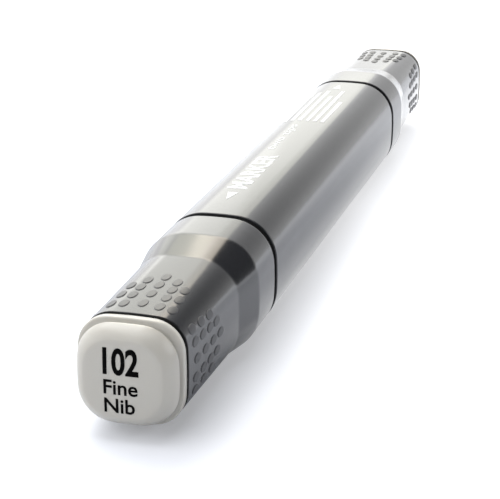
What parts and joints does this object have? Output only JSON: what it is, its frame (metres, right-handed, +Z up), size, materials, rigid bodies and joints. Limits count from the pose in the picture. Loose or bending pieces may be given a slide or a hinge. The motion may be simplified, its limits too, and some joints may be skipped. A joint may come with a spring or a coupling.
{
  "type": "felt tip marker",
  "caption": "Rounded-square felt tip marker with a fine nib, a chisel nib and pull-off caps that taper to flat-faced colour plugs.",
  "frame": {"origin": "on the surface the marker rests on, under the middle of the barrel", "axes": "+Y along the marker's length towards the broad nib's end, +X across it, +Z up from the flat it rests on"},
  "size_m": [0.0154, 0.1536, 0.0155],
  "materials": {
    "body_shell": "silver-grey metallic coat, high gloss",
    "colour_plug": "pale warm grey moulded plastic, soft gloss",
    "black_plastic": "black moulded plastic, satin",
    "nib_felt": "bonded polyester felt, lightly inked",
    "nib_sleeve": "natural moulded plastic",
    "ink_fibre": "ink-soaked polyester fibre",
    "clear_film": "clear film"
  },
  "bodies": {
    "barrel": {"barrel_shell": "body_shell", "reservoir_core": "ink_fibre", "reservoir_film": "clear_film", "fine_section": "black_plastic", "fine_nib": "nib_felt", "fine_nib_sleeve": "nib_sleeve", "broad_section": "black_plastic", "broad_nib": "nib_felt"},
    "fine_cap": {"fine_cap_shell": "body_shell", "fine_cap_liner": "black_plastic", "fine_cap_plug": "colour_plug"},
    "broad_cap": {"broad_cap_shell": "body_shell", "broad_cap_liner": "black_plastic", "broad_cap_plug": "colour_plug"}
  },
  "joints": [
    {"name": "fine_cap_slide", "type": "slide", "parent": "barrel", "child": "fine_cap", "axis": [0, -1, 0], "range_m": [0, 0.04]},
    {"name": "broad_cap_slide", "type": "slide", "parent": "barrel", "child": "broad_cap", "axis": [0, 1, 0], "range_m": [0, 0.04]}
  ]
}
